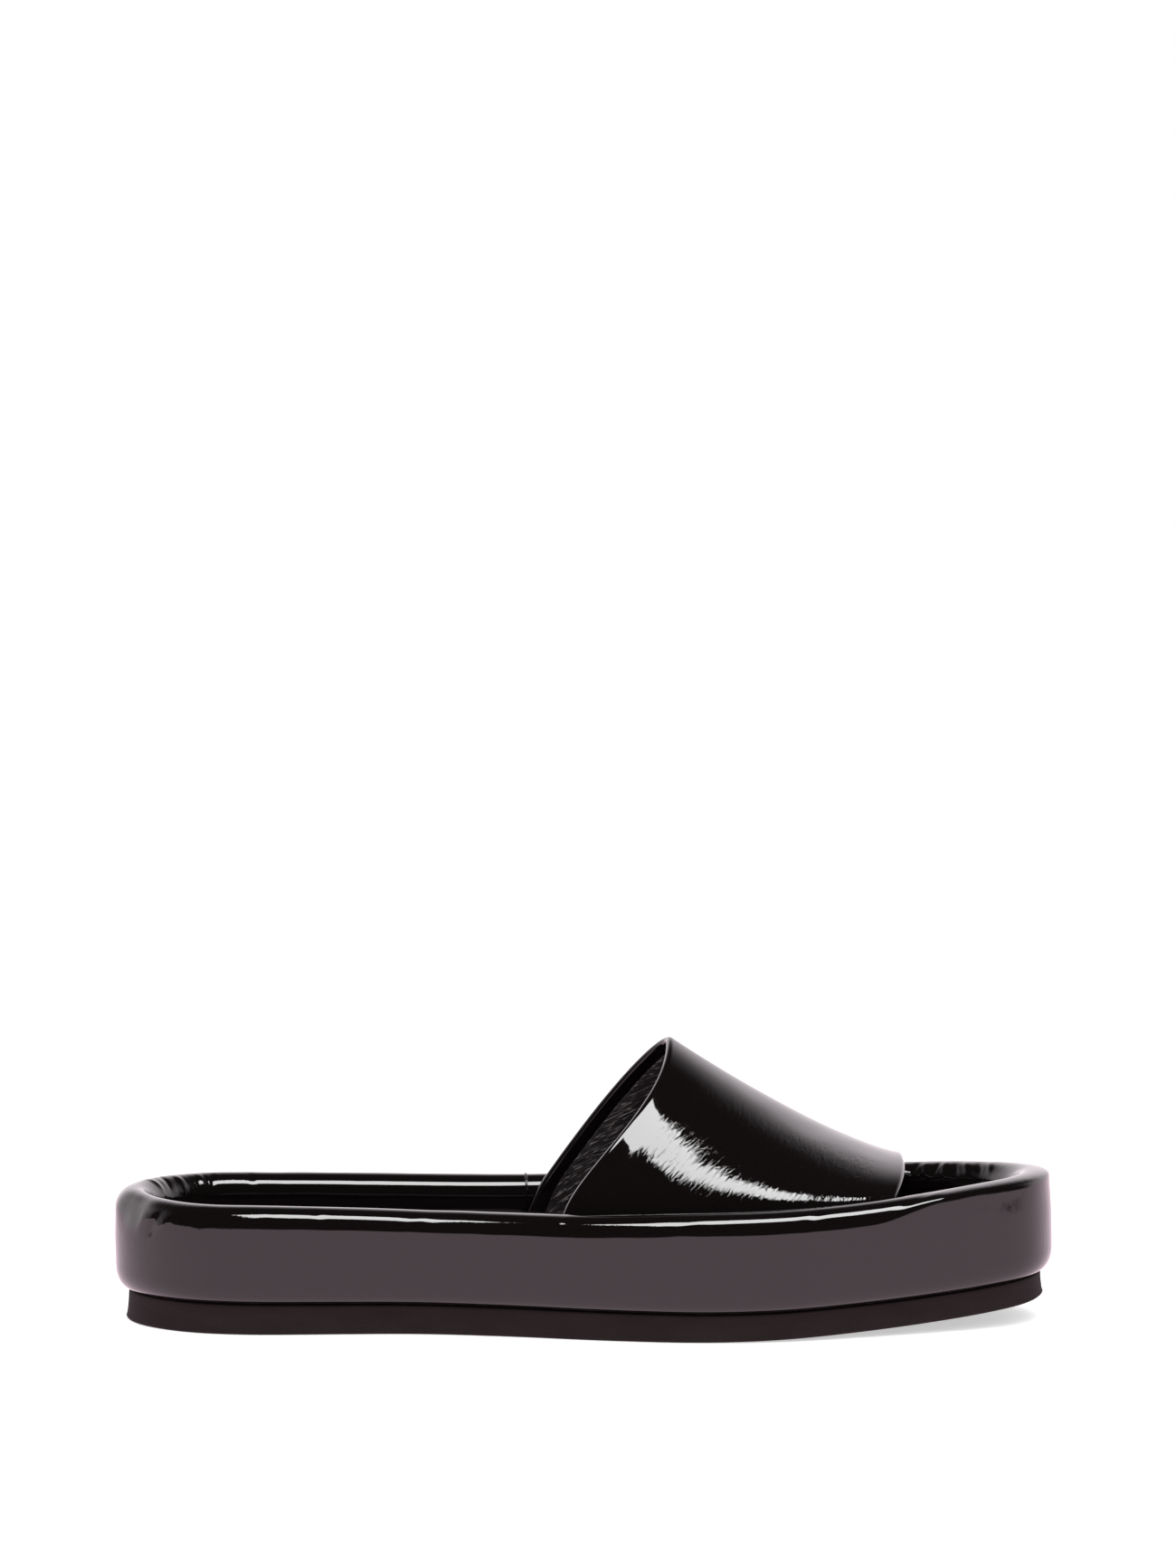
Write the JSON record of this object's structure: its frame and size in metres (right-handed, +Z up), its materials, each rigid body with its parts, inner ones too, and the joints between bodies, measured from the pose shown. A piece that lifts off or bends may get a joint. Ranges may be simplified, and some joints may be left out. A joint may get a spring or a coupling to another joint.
{
  "type": "slide sandal",
  "caption": "A right-foot platform slide in black patent: rubber outsole, thick padded platform with a rolled rim, sunk insole and one broad strap over the foot.",
  "frame": {"origin": "on the floor, under the middle of the sandal's bounding box", "axes": "+X towards the toe, +Y towards the inner side of the foot, +Z up"},
  "size_m": [0.2766, 0.1002, 0.0812],
  "materials": {
    "outsole_rubber": "matte dark brown-black rubber with a cut edge",
    "patent_leather": "black patent, mirror gloss, softly creased",
    "footbed_leather": "smooth black lining leather, satin"
  },
  "bodies": {
    "root": {"outsole": "outsole_rubber", "platform": "patent_leather", "insole": "footbed_leather", "strap": "patent_leather"}
  },
  "joints": []
}
